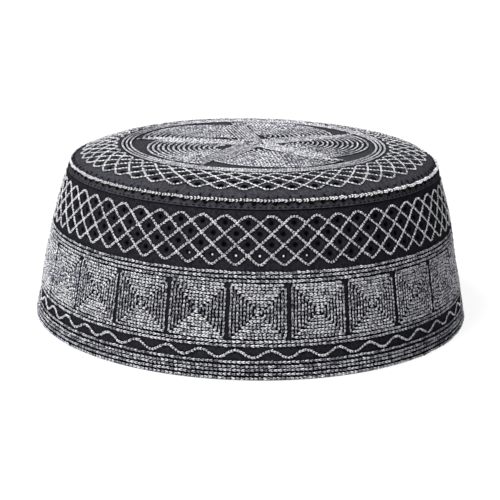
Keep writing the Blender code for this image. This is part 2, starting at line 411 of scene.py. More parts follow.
def put_in_scene(name: str, data: bpy.types.ID) -> bpy.types.Object:
    """Makes an object of a mesh, a light or a camera and links it to the scene."""
    thing = bpy.data.objects.new(name, data)
    bpy.context.scene.collection.objects.link(thing)
    return thing


def face_outwards(mesh: bpy.types.Mesh) -> None:
    """Turns the faces of closed surfaces outwards."""
    bm = bmesh.new()
    bm.from_mesh(mesh)
    bmesh.ops.recalc_face_normals(bm, faces=bm.faces)
    bm.to_mesh(mesh)
    bm.free()


def dress(piece: bpy.types.Object, slot: Slot, replaces: tuple[str, ...]) -> None:
    """Finishes a piece: puts it on the cap's body, hides the frame's nodes that it stands for and logs its
    triangles.
    """
    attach(piece, ROOT_BODY)
    if replaces:
        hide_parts(*replaces)
    triangles = sum(len(polygon.vertices) - 2 for polygon in piece.data.polygons)
    log.info("%s: %d triangles", piece.name, triangles)


@dataclass(frozen=True)
class Dent:
    """A shallow push of the wall, out or in, fading to nothing at its edge."""

    angle: float
    height: float
    push: float
    half_angle: float
    half_height: float


@dataclass(frozen=True)
class Slump:
    """A place where the crown's shoulder has sunk or risen."""

    angle: float
    radius: float
    drop: float
    half_angle: float
    half_width: float


def fade(around: np.ndarray, across: np.ndarray) -> np.ndarray:
    """1 at the middle of a dent, falling smoothly to 0 at a distance of 1."""
    return np.cos(math.pi / 2 * np.minimum(1.0, np.hypot(around, across))) ** 2


def angle_between(a: np.ndarray, b: float) -> np.ndarray:
    """Degrees from b to a the short way round."""
    return (a - b + 180.0) % 360.0 - 180.0


def smooth_through(xs: np.ndarray, ys: np.ndarray, x: np.ndarray) -> np.ndarray:
    """Reads a smooth curve through a few points, flat at its first one.

    Args:
        xs: the points' positions, rising.
        ys: the points' values.
        x: where to read.

    Returns:
        The curve's values.
    """
    slopes = np.gradient(ys, xs)
    slopes[0] = 0.0
    i = np.clip(np.searchsorted(xs, x, side="right") - 1, 0, len(xs) - 2)
    run = xs[i + 1] - xs[i]
    t = (x - xs[i]) / run
    rise = ys[i] * (1 + 2 * t) * (1 - t) ** 2 + ys[i + 1] * t * t * (3 - 2 * t)
    return rise + run * (slopes[i] * t * (1 - t) ** 2 + slopes[i + 1] * t * t * (t - 1))


@dataclass(frozen=True)
class CapForm:
    """The cap's outer cloth as the frame holds it: band, turned lip and crown, with their dents."""

    rim_radius: float
    lip_height: float
    crown_top: float
    seam_radius: float = 78.5 * MM
    lip_drop: float = 3.0 * MM
    lip_stands_out: float = 0.4 * MM
    belly: float = 1.65 * MM
    belly_skew: float = 1.17 * MM
    band_cloth: float = 2.0 * MM
    crown_cloth: float = 1.5 * MM
    seat: float = 0.3 * MM
    dents: tuple[Dent, ...] = (
        Dent(angle=92.0, height=28.0 * MM, push=-0.6 * MM, half_angle=50.0, half_height=16.0 * MM),
        Dent(angle=85.0, height=66.0 * MM, push=0.5 * MM, half_angle=60.0, half_height=9.0 * MM),
    )
    slumps: tuple[Slump, ...] = (
        Slump(angle=-100.0, radius=72.0 * MM, drop=1.0 * MM, half_angle=75.0, half_width=12.0 * MM),
        Slump(angle=80.0, radius=72.0 * MM, drop=-0.4 * MM, half_angle=60.0, half_width=12.0 * MM),
    )
    # A slump grows to its full drop over this height above the seam.
    slump_start: float = 2 * MM
    # The crown's section: radii, and how far the cloth lies below the crown's top at each.
    crown_section: tuple[tuple[float, float], ...] = (
        (0.0, 0.0),
        (30 * MM, 0.1 * MM),
        (58 * MM, 0.4 * MM),
        (65 * MM, 0.9 * MM),
        (70.5 * MM, 2.0 * MM),
        (74.5 * MM, 3.55 * MM),
        (77.2 * MM, 5.25 * MM),
        (78.5 * MM, 6.5 * MM),
    )

    @classmethod
    def from_frame(cls) -> CapForm:
        """Reads the rim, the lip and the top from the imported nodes."""
        return cls(
            rim_radius=-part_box("side_band")[0].y,
            lip_height=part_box("crown")[0].z,
            crown_top=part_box("crown")[1].z,
        )

    @property
    def seam_height(self) -> float:
        """Height of the seam chain, where crown and band meet."""
        return self.lip_height + self.lip_drop

    def wall_radius(self, height: np.ndarray | float) -> np.ndarray | float:
        """Radius of the band's outer cloth at a height, without its dents."""
        t = height / self.seam_height
        hump = 4 * t * (1 - t)
        taper = (self.seam_radius - self.rim_radius) * t
        return self.rim_radius + taper + hump * (self.belly + self.belly_skew * (2 * t - 1))

    def crown_height(self, radius: np.ndarray) -> np.ndarray:
        """Height of the crown's outer cloth at a radius, without its slumps."""
        radii, falls = np.array(self.crown_section).T
        return self.crown_top - smooth_through(radii, falls, radius)

    def place(self, angle: np.ndarray, radius: np.ndarray, height: np.ndarray) -> np.ndarray:
        """Points of the cap in its dents and slumps.

        Args:
            angle: degrees from the front.
            radius: distance from the axis on the round form.
            height: height above the rim on the round form.

        Returns:
            Points, one in each last-axis triple.
        """
        angle, radius, height = np.broadcast_arrays(angle, radius, height)
        drop = np.zeros(angle.shape)
        for slump in self.slumps:
            around = angle_between(angle, slump.angle) / slump.half_angle
            drop += slump.drop * fade(around, (radius - slump.radius) / slump.half_width)
        height = height - drop * np.clip((height - self.seam_height) / self.slump_start, 0, 1)
        push = np.zeros(angle.shape)
        for dent in self.dents:
            around = angle_between(angle, dent.angle) / dent.half_angle
            push += dent.push * fade(around, (height - dent.height) / dent.half_height)
        turn = np.radians(angle)
        radius = radius + push
        return np.stack([radius * np.sin(turn), -radius * np.cos(turn), height], axis=-1)


@dataclass(frozen=True)
class NeedlePath:
    """The line that a row of stitches follows, with the cloth's normal at each point."""

    points: np.ndarray
    normals: np.ndarray
    closed: bool
    # A fuller row is wider, and the same share raises its tone: painted light.
    fullness: float = 1.0


class Panel:
    """The outer cloth of one panel, addressed by angle round the cap and by arc length up its section."""

    normal_step = 0.3 * MM

    def __init__(self, form: CapForm, section: np.ndarray, cloth: float) -> None:
        """Measures the section.

        Args:
            form: the cap's form.
            section: radius and height pairs, from the panel's lower edge inwards and up.
            cloth: the cloth's thickness.
        """
        self.form = form
        self.section = section
        self.cloth = cloth
        self.arc = np.concatenate([[0.0], np.cumsum(np.hypot(*np.diff(section, axis=0).T))])
        self.length = float(self.arc[-1])

    def radius(self, s: np.ndarray | float) -> np.ndarray:
        """Radius at an arc length."""
        return np.interp(s, self.arc, self.section[:, 0])

    def at_height(self, height: np.ndarray | float) -> np.ndarray:
        """Arc length at a height of the section."""
        return np.interp(height, self.section[:, 1], self.arc)

    def at_radius(self, radius: np.ndarray | float) -> np.ndarray:
        """Arc length at a radius of the section."""
        return np.interp(-np.asarray(radius), -self.section[:, 0], self.arc)

    def surface(self, angle: np.ndarray, s: np.ndarray) -> np.ndarray:
        """Points on the outer cloth."""
        height = np.interp(s, self.arc, self.section[:, 1])
        return self.form.place(angle, self.radius(s), height)

    def normal(self, angle: np.ndarray, s: np.ndarray) -> np.ndarray:
        """Outward unit normals of the outer cloth.

        Args:
            angle: degrees from the front.
            s: arc length up the section.

        Returns:
            Unit vectors, one in each last-axis triple.
        """
        step = self.normal_step
        inner = np.minimum(s + step, self.length - step)
        outer = np.maximum(inner - 2 * step, 0.0)
        up = self.surface(angle, inner) - self.surface(angle, outer)
        turn = np.radians(angle)
        along = np.stack(np.broadcast_arrays(np.cos(turn), np.sin(turn), 0.0 * turn), axis=-1)
        normal = np.cross(along, up)
        return normal / np.linalg.norm(normal, axis=-1, keepdims=True)

    def point(self, angle: np.ndarray, s: np.ndarray, stands_out: np.ndarray | float = 0.0) -> np.ndarray:
        """Points that stand out from the cloth, or lie inside it where the distance is negative."""
        angle, s, stands_out = np.broadcast_arrays(angle, s, stands_out)
        return self.surface(angle, s) + stands_out[..., None] * self.normal(angle, s)

    def uv(self, angle: np.ndarray, s: np.ndarray) -> np.ndarray:
        """The cloth's own UV, in metres along its yarns."""
        angle, s = np.broadcast_arrays(angle, s)
        return np.stack([np.radians(angle) * self.form.rim_radius, s], axis=-1)

    def path(
        self, angle: np.ndarray, s: np.ndarray, closed: bool, stands_out: float = 0.0, fullness: float = 1.0
    ) -> NeedlePath:
        """A needle path on the cloth from angles and arc lengths."""
        return NeedlePath(self.point(angle, s, stands_out), self.normal(angle, s), closed, fullness)


@dataclass(frozen=True)
class Eyelet:
    """A round hole in the cloth, and the pinch that its thread draws round it."""

    radius: float
    pinch_radius: float
    pinch_depth: float


@dataclass(frozen=True)
class EyeletRows:
    """Rows of eyelets, each in its own cell of the panel, every other row set half a cell along."""

    eyelet: Eyelet
    count: int
    first_angle: float
    first: float
    pitch: float
    rows: int = 4

    @property
    def cell_angle(self) -> float:
        """Degrees that one cell spans."""
        return 360.0 / self.count

    @property
    def low(self) -> float:
        """Arc length where the first row of cells starts."""
        return self.first - self.pitch / 2

    @property
    def high(self) -> float:
        """Arc length where the last row of cells ends."""
        return self.low + self.rows * self.pitch


class Shell:
    """Collects the faces of a cloth panel with an outer side, an inner side and eyelets through both."""

    # Columns of the panel in each cell, and the directions of a cell's boundary points from its eyelet.
    columns_in_cell = 4
    boundary = (
        (-1.0, -1.0), (-0.5, -1.0), (0.0, -1.0), (0.5, -1.0), (1.0, -1.0), (1.0, -1 / 3), (1.0, 1 / 3),
        (1.0, 1.0), (0.5, 1.0), (0.0, 1.0), (-0.5, 1.0), (-1.0, 1.0), (-1.0, 1 / 3), (-1.0, -1 / 3),
    )
    directions = (210, 240, 270, 300, 330, 350, 10, 30, 60, 90, 120, 150, 170, 190)
    # How far the cloth has sunk halfway into a pinch, as a share of the pinch's depth.
    halfway_sink = 0.28
    hem_steps = 9
    # Points this near are one point, and shorter edges are dropped.
    weld = 0.002 * MM
    shortest_edge = 0.001 * MM
    crease_angle = 60

    def __init__(self, panel: Panel, eyelets: EyeletRows) -> None:
        """Starts an empty shell.

        Args:
            panel: the cloth.
            eyelets: the rows of eyelets through it.
        """
        self.panel = panel
        self.eyelets = eyelets
        step = eyelets.cell_angle / self.columns_in_cell
        start = eyelets.first_angle - eyelets.cell_angle / 2
        self.angles = start + step * np.arange(eyelets.count * self.columns_in_cell + 1)
        self.points: list[np.ndarray] = []
        self.uvs: list[np.ndarray] = []
        self.faces: list[np.ndarray] = []
        self.size = 0

    def add_sheet(self, points: np.ndarray, uvs: np.ndarray) -> None:
        """Adds quads between the rows of a grid of points, facing the side where they run anticlockwise.

        Args:
            points: rows by columns of points.
            uvs: rows by columns of UV pairs.
        """
        rows, columns = points.shape[:2]
        index = self.size + np.arange(rows * columns).reshape(rows, columns)
        quads = np.stack([index[:-1, :-1], index[:-1, 1:], index[1:, 1:], index[1:, :-1]], axis=-1)
        self.points.append(points.reshape(-1, 3))
        self.uvs.append(uvs.reshape(-1, 2))
        self.faces.append(quads.reshape(-1, 4))
        self.size += rows * columns

    def add_plain(self, stops: np.ndarray) -> None:
        """Adds both sides of a stretch with no eyelets, with a row of points at each arc length."""
        angle, s = np.meshgrid(self.angles, stops)
        self.add_sheet(self.panel.point(angle, s), self.panel.uv(angle, s))
        self.add_sheet(self.panel.point(angle, s, -self.panel.cloth)[::-1], self.panel.uv(angle, s)[::-1])

    def ends(self, s: float) -> tuple[np.ndarray, np.ndarray]:
        """Where the outer and the inner side end, at an arc length, as rows of points round the cap."""
        at = np.full(self.angles.shape, s)
        return self.panel.point(self.angles, at), self.panel.point(self.angles, at, -self.panel.cloth)

    def add_edge(self, rows: list[np.ndarray]) -> None:
        """Adds an edge of the cloth through rows of points round the cap."""
        uvs = [self.panel.uv(self.angles, row[:, 2]) for row in rows]
        self.add_sheet(np.stack(rows), np.stack(uvs))

    def add_hem(self, s: float) -> None:
        """Adds the fold that closes the lower edge, from the inner side down to the board and out again."""
        outer, inner = self.ends(s)
        middle, reach = (outer + inner) / 2, (outer - inner) / 2
        drop = middle * (0.0, 0.0, 1.0)
        turns = np.radians(np.linspace(180, 360, self.hem_steps))
        self.add_edge([middle + reach * math.cos(turn) + drop * math.sin(turn) for turn in turns])

    def add_eyelets(self) -> None:
        """Adds the rows of cells: pinched cloth round each eyelet, the eyelet's wall and the inner side."""
        rows, eyelet = self.eyelets, self.eyelets.eyelet
        edge = np.array(self.boundary) * (rows.cell_angle / 2, rows.pitch / 2)
        turn = np.radians(self.directions)
        circle = np.stack([np.cos(turn), np.sin(turn)], axis=-1)
        hole = eyelet.radius / eyelet.pinch_radius
        # Each ring of the pinch: share of its radius, share of its depth.
        pinch = ((1.0, 0.0), ((1 + hole) / 2, self.halfway_sink), (hole, 1.0))
        sinks = [-sink * eyelet.pinch_depth for _, sink in pinch]
        depth = np.array([0.0, *sinks, -self.panel.cloth, -self.panel.cloth])[:, None]
        for row in range(rows.rows):
            centre_s = rows.first + rows.pitch * row
            shift = rows.cell_angle / 2 * (row % 2)
            per_degree = math.radians(1.0) * float(self.panel.radius(centre_s))
            rings = [circle * reach * eyelet.pinch_radius / (per_degree, 1.0) for reach, _ in pinch]
            loops = np.stack([edge, *rings, rings[-1], edge])
            loops = np.concatenate([loops, loops[:, :1]], axis=1)
            for centre in rows.first_angle + shift + rows.cell_angle * np.arange(rows.count):
                angle, s = centre + loops[..., 0], centre_s + loops[..., 1]
                self.add_sheet(self.panel.point(angle, s, depth), self.panel.uv(angle, s))

    def finish(self, name: str, material: bpy.types.Material) -> bpy.types.Object:
        """Joins the sheets into one closed, smooth piece.

        Args:
            name: the piece's name.
            material: its cloth.

        Returns:
            The piece.
        """
        mesh = bpy.data.meshes.new(name)
        points, faces, uvs = (np.concatenate(part) for part in (self.points, self.faces, self.uvs))
        mesh.from_pydata(points.tolist(), [], faces.tolist())
        layer = mesh.uv_layers.new(name=CLOTH_UV)
        layer.data.foreach_set("uv", uvs[faces.reshape(-1)].astype(np.float32).reshape(-1))
        bm = bmesh.new()
        bm.from_mesh(mesh)
        bmesh.ops.remove_doubles(bm, verts=bm.verts, dist=self.weld)
        bmesh.ops.dissolve_degenerate(bm, edges=bm.edges, dist=self.shortest_edge)
        bm.to_mesh(mesh)
        bm.free()
        mesh.shade_smooth()
        mesh.set_sharp_from_angle(angle=math.radians(self.crease_angle))
        mesh.materials.append(material)
        return put_in_scene(name, mesh)


@dataclass
class ChainStitch:
    """One link of chain stitch: two legs of thread leave one hole, part like a V and close on the next."""

    length: float = 1.5 * MM
    thread: float = 0.48 * MM
    # Each station of a leg: share of the length, half of the row's opening and height above the cloth in
    # millimetres, and share of the thread's thickness.
    stations: tuple[tuple[float, float, float, float], ...] = (
        (-0.10, 0.01, 0.04, 0.0),
        (0.24, 0.09, 0.29, 0.90),
        (0.64, 0.26, 0.35, 1.0),
        (1.00, 0.36, 0.20, 0.88),
        (1.30, 0.26, 0.00, 0.0),
    )
    sides: int = 4

    def leg(self, side: int) -> tuple[list, list, list]:
        """One leg, pointed at both ends.

        Args:
            side: 1 for the leg on +Y, -1 for the other.

        Returns:
            Points, faces, and UV pairs in the order of the faces' corners.
        """
        points, rings = [], []
        for along, opening, height, share in self.stations:
            x, y, z = along * self.length, side * opening * MM, height * MM
            reach = share * self.thread / 2
            corners = self.sides if share else 1
            rings.append([len(points) + corner for corner in range(corners)])
            for corner in range(corners):
                turn = 2 * math.pi * corner / self.sides - math.pi / 2
                points.append((x, y + reach * math.cos(turn), z + reach * math.sin(turn)))
        faces, uvs = [], []
        for number, (first, second) in enumerate(zip(rings, rings[1:])):
            low, high = self.stations[number][0], self.stations[number + 1][0]
            for corner in range(self.sides):
                after = (corner + 1) % self.sides
                v0, v1 = corner / self.sides, (corner + 1) / self.sides
                outline = [(first[corner % len(first)], (low, v0))]
                if len(first) > 1:
                    outline.append((first[after], (low, v1)))
                if len(second) > 1:
                    outline.append((second[after], (high, v1)))
                outline.append((second[corner % len(second)], (high, v0)))
                faces.append(tuple(index for index, _ in outline))
                uvs += [uv for _, uv in outline]
        return points, faces, uvs

    def template(self) -> bpy.types.Object:
        """Builds the link that the node tree copies, kept out of the scene."""
        points, faces, uvs = self.leg(1)
        other_points, other_faces, other_uvs = self.leg(-1)
        faces += [tuple(i + len(points) for i in face) for face in other_faces]
        mesh = bpy.data.meshes.new("chain_link")
        mesh.from_pydata(points + other_points, [], faces)
        layer = mesh.uv_layers.new(name=TWIST_UV)
        layer.data.foreach_set("uv", np.array(uvs + other_uvs, np.float32).reshape(-1))
        face_outwards(mesh)
        return bpy.data.objects.new("chain_link", mesh)


class StitchTree:
    """The node tree that lays stitches along needle paths, with named inputs for sizes, tone and seed."""

    inputs = {
        "Path": "Geometry",
        "Stitch": "Object",
        "Thread": "Material",
        "Stitch length": "Float",
        "Stretch": "Float",
        "Row width": "Float",
        "Lift": "Float",
        "Tone low": "Float",
        "Tone high": "Float",
        "Unevenness": "Float",
        "Seed": "Int",
    }
    # Sizes and tones draw their luck this far from the seed that leans the stitches.
    size_seed = 101.0
    tone_seed = 202.0

    def __init__(self) -> None:
        """Builds the tree, and notes the identifier of each input."""
        self.tree = bpy.data.node_groups.new("rows_of_stitches", "GeometryNodeTree")
        sockets = self.tree.interface
        self.identifiers = {
            name: sockets.new_socket(name, in_out="INPUT", socket_type=f"NodeSocket{kind}").identifier
            for name, kind in self.inputs.items()
        }
        sockets.new_socket("Stitches", in_out="OUTPUT", socket_type="NodeSocketGeometry")
        given = add_node(self.tree, "NodeGroupInput").outputs
        real = add_node(self.tree, "GeometryNodeRealizeInstances", (self.lay_stitches(given),))
        smooth = add_node(self.tree, "GeometryNodeSetShadeSmooth", {"Geometry": real})
        thread = {"Geometry": smooth, "Material": given["Thread"]}
        dressed = add_node(self.tree, "GeometryNodeSetMaterial", thread)
        add_node(self.tree, "NodeGroupOutput", (dressed,))

    def lay_stitches(self, given: bpy.types.bpy_prop_collection) -> bpy.types.Node:
        """Adds the nodes that space holes evenly on the path and lay a stitch from each to the next.

        Args:
            given: the tree's inputs.

        Returns:
            A node with the toned stitches, as instances.
        """
        tree, uneven = self.tree, given["Unevenness"]
        curve = add_node(tree, "GeometryNodeMeshToCurve", (given["Path"],))
        spacing = {"Curve": curve, "Length": given["Stitch length"]}
        spaced = add_node(tree, "GeometryNodeResampleCurve", spacing, mode="LENGTH")
        hole = add_node(tree, "GeometryNodeInputPosition")
        following = add_node(tree, "GeometryNodeOffsetPointInCurve", {"Offset": 1}).outputs
        there = {"Index": following["Point Index"], "Value": hole}
        next_hole = add_node(tree, "GeometryNodeFieldAtIndex", there, data_type="FLOAT_VECTOR")
        ahead = add_node(tree, VECTOR_MATH, (next_hole, hole), operation="SUBTRACT")
        heading = add_node(tree, ALIGN, {"Vector": ahead}, axis="X")
        normal = add_node(tree, ATTRIBUTE, {"Name": NORMAL_ATTRIBUTE}, data_type="FLOAT_VECTOR")
        seated = add_node(tree, ALIGN, {"Rotation": heading, "Vector": normal}, axis="Z", pivot_axis="X")
        below = add_node(tree, MATH, (uneven, -1.0), operation="MULTIPLY")
        limits = {0: add_node(tree, JOIN, (below, below, below)), 1: add_node(tree, JOIN, (uneven,) * 3)}
        lean = add_node(tree, RANDOM, {**limits, "Seed": given["Seed"]}, data_type="FLOAT_VECTOR")
        tilt = add_node(tree, "FunctionNodeEulerToRotation", (lean,))
        turned = add_node(tree, "FunctionNodeRotateRotation", (seated, tilt), rotation_space="LOCAL")
        size_seed = add_node(tree, MATH, (given["Seed"], self.size_seed), operation="ADD")
        spread = add_node(tree, RANDOM, {**limits, "Seed": size_seed}, data_type="FLOAT_VECTOR")
        fullness = add_node(tree, ATTRIBUTE, {"Name": FULLNESS_AND_LIGHT_ATTRIBUTE}, data_type="FLOAT")
        girth = add_node(tree, MATH, (given["Row width"], fullness), operation="MULTIPLY")
        size = add_node(tree, JOIN, (given["Stretch"], girth, given["Lift"]))
        laying = {
            "Points": spaced,
            "Selection": following["Is Valid Offset"],
            "Instance": add_node(tree, "GeometryNodeObjectInfo", (given["Stitch"],)).outputs["Geometry"],
            "Rotation": turned,
            "Scale": add_node(tree, VECTOR_MATH, (size, spread), operation="ADD"),
        }
        laid = add_node(tree, "GeometryNodeInstanceOnPoints", laying)
        tone_seed = add_node(tree, MATH, (given["Seed"], self.tone_seed), operation="ADD")
        tones = {2: given["Tone low"], 3: given["Tone high"], "Seed": tone_seed}
        tone = add_node(tree, RANDOM, tones, data_type="FLOAT").outputs[1]
        # Painted light: the fullness raises or lowers each stitch's tone.
        shown_tone = add_node(tree, MATH, (tone, fullness), operation="MULTIPLY")
        toned = {"Geometry": laid, "Name": TONE_ATTRIBUTE, "Value": shown_tone}
        return add_node(tree, "GeometryNodeStoreNamedAttribute", toned, data_type="FLOAT", domain="INSTANCE")


@dataclass(frozen=True)
class RowStyle:
    """How a piece of embroidery was sewn."""

    length: float = 1.62 * MM
    # How far each stitch runs into the next, as a share of its usual reach.
    overlap: float = 1.0
    width: float = 1.0
    lift: float = 1.0
    tone_low: float = 0.44
    tone_high: float = 0.82
    unevenness: float = 0.09


class Embroiderer:
    """Sews needle paths into pieces of thread, and keeps the count of them."""

    def __init__(self, thread: bpy.types.Material) -> None:
        """Makes the link and the tree for a thread."""
        self.thread = thread
        self.stitch = ChainStitch()
        self.link = self.stitch.template()
        self.tree = StitchTree()
        self.seed = 0

    def carrier(self, name: str, paths: list[NeedlePath]) -> bpy.types.Object:
        """Puts needle paths into one mesh of edges that carries the cloth's normals and the fullness, which
        widens rows and paints them lighter.
        """
        points, normals, fullness, edges = [], [], [], []
        start = 0
        for path in paths:
            count = len(path.points)
            points.append(path.points)
            normals.append(path.normals)
            fullness.append(np.full(count, path.fullness, np.float32))
            edges += [(start + i, start + i + 1) for i in range(count - 1)]
            if path.closed:
                edges.append((start + count - 1, start))
            start += count
        mesh = bpy.data.meshes.new(name)
        mesh.from_pydata(np.concatenate(points).tolist(), edges, [])
        attribute = mesh.attributes.new(NORMAL_ATTRIBUTE, "FLOAT_VECTOR", "POINT")
        attribute.data.foreach_set("vector", np.concatenate(normals).astype(np.float32).reshape(-1))
        attribute = mesh.attributes.new(FULLNESS_AND_LIGHT_ATTRIBUTE, "FLOAT", "POINT")
        attribute.data.foreach_set("value", np.concatenate(fullness))
        return put_in_scene(name + "_path", mesh)

    def sew(
        self, name: str, paths: list[NeedlePath], style: RowStyle, replaces: tuple[str, ...] = ()
    ) -> None:
        """Sews the paths into one piece, a plain mesh that rides on the cap.

        Args:
            name: the piece's name.
            paths: the needle paths.
            style: how the rows were sewn.
            replaces: the frame's nodes that the piece stands for.
        """
        self.seed += 1
        path = self.carrier(name, paths)
        modifier = path.modifiers.new("stitches", "NODES")
        modifier.node_group = self.tree.tree
        given = {
            "Stitch": self.link,
            "Thread": self.thread,
            "Stitch length": style.length,
            "Stretch": style.overlap * style.length / self.stitch.length,
            "Row width": style.width,
            "Lift": style.lift,
            "Tone low": style.tone_low,
            "Tone high": style.tone_high,
            "Unevenness": style.unevenness,
            "Seed": self.seed,
        }
        for key, value in given.items():
            modifier[self.tree.identifiers[key]] = value
        graph = bpy.context.evaluated_depsgraph_get()
        mesh = bpy.data.meshes.new_from_object(path.evaluated_get(graph), depsgraph=graph)
        mesh.name = name
        bpy.data.objects.remove(path, do_unlink=True)
        dress(put_in_scene(name, mesh), Slot.THREAD, replaces)


@dataclass
class HandStitches:
    """Short straight stitches of sewing thread, each a spindle that dives into the cloth at both ends."""

    thickness: float = 0.44 * MM
    bury: float = 0.15 * MM
    sides: int = 4
    # Each ring of a stitch: share of its length, share of its thickness.
    rings: tuple[tuple[float, float], ...] = ((0.16, 0.8), (0.5, 1.0), (0.84, 0.8))

    def spindle(self) -> list[tuple[int, ...]]:
        """The faces of one stitch, from its first point through its rings to its last."""
        faces = []
        last = 1 + len(self.rings) * self.sides
        for corner in range(self.sides):
            after = (corner + 1) % self.sides
            faces.append((0, 1 + after, 1 + corner))
            for ring in range(len(self.rings) - 1):
                low = 1 + ring * self.sides
                faces.append((low + corner, low + after, low + self.sides + after, low + self.sides + corner))
            faces.append((last - self.sides + corner, last - self.sides + after, last))
        return faces

    def make(self, name: str, panel: Panel, strokes: list[tuple], thread: bpy.types.Material) -> None:
        """Sews the strokes into one piece.

        Args:
            name: the piece's name.
            panel: the cloth that they are sewn on.
            strokes: for each stitch its first angle and arc length, and its last angle and arc length.
            thread: the thread's material.
        """
        places = np.array(strokes)
        turn = np.linspace(0.0, 2 * math.pi, self.sides, endpoint=False)[None, :, None]
        starts = panel.point(places[:, 0], places[:, 1], -self.bury)
        ends = panel.point(places[:, 2], places[:, 3], -self.bury)
        up = panel.normal(places[:, 0], places[:, 1])
        along = ends - starts
        aside = np.cross(along, up)
        aside /= np.linalg.norm(aside, axis=1, keepdims=True)
        circle = aside[:, None] * np.cos(turn) + up[:, None] * np.sin(turn)
        layers = [starts[:, None]]
        for share, thick in self.rings:
            reach = self.thickness / 2 * thick
            middle = starts + along * share + up * (self.bury + reach)
            layers.append(middle[:, None] + circle * reach)
        layers.append(ends[:, None])
        points = np.concatenate(layers, axis=1)
        firsts = range(0, points.shape[0] * points.shape[1], points.shape[1])
        spindle = self.spindle()
        mesh = bpy.data.meshes.new(name)
        faces = [tuple(first + i for i in face) for first in firsts for face in spindle]
        mesh.from_pydata(points.reshape(-1, 3).tolist(), [], faces)
        face_outwards(mesh)
        mesh.shade_smooth()
        mesh.materials.append(thread)
        dress(put_in_scene(name, mesh), Slot.CLOTH, ())


def rounded_zigzag(steps: np.ndarray, run: float, first_round: float, last_round: float) -> np.ndarray:
    """Height of a thread that climbs one row for each step, turning back after a run of rows.

    Args:
        steps: distance along the row, in half cells, 0 at a first turn.
        run: rows that the thread climbs before it turns.
        first_round: how round its first turns are, in rows.
        last_round: how round the turns at the other end are, in rows.

    Returns:
        Height in rows.
    """
    across = np.abs((steps + run) % (2 * run) - run)
    low = np.hypot(across, first_round) - math.hypot(run / 2, first_round) + run / 2
    high = run / 2 - np.hypot(run - across, last_round) + math.hypot(run / 2, last_round)
    return np.where(across < run / 2, low, high)


def wander(angle: np.ndarray, reach: float, seed: int) -> np.ndarray:
    """The slow drift of a hand-guided row, a sum of waves that meets itself after a full turn.

    Args:
        angle: degrees round the cap.
        reach: how far the row drifts at most, about.
        seed: which drift.

    Returns:
        The drift at each angle.
    """
    luck = np.random.default_rng(seed)
    drift = np.zeros(angle.shape)
    for waves in DRIFT_WAVES:
        drift += luck.uniform(0.3, 1.0) * np.sin(np.radians(waves * angle + luck.uniform(0, 360)))
    return drift * reach / DRIFT_HEIGHT


def round_corners(corners: np.ndarray, cuts: np.ndarray, spacing: float) -> np.ndarray:
    """A line through corners, each one rounded off, as evenly spaced points.

    Args:
        corners: the corners in order, with the line's two ends.
        cuts: how far from each inner corner its rounding reaches, at most halfway to the next one.
        spacing: distance between points.

    Returns:
        The line's points.
    """
    t = np.linspace(0.0, 1.0, CORNER_POINTS)[:, None]
    parts = [corners[:1]]
    for before, corner, after, cut in zip(corners, corners[1:], corners[2:], cuts):
        back, ahead = before - corner, after - corner
        start = corner + back * min(cut / np.linalg.norm(back), 0.5)
        end = corner + ahead * min(cut / np.linalg.norm(ahead), 0.5)
        parts.append((1 - t) ** 2 * start + 2 * t * (1 - t) * corner + t**2 * end)
    line = np.concatenate([*parts, corners[-1:]])
    run = np.concatenate([[0.0], np.cumsum(np.hypot(*np.diff(line, axis=0).T))])
    stops = np.linspace(0.0, run[-1], int(run[-1] / spacing) + 1)
    return np.stack([np.interp(stops, run, line[:, 0]), np.interp(stops, run, line[:, 1])], axis=-1)


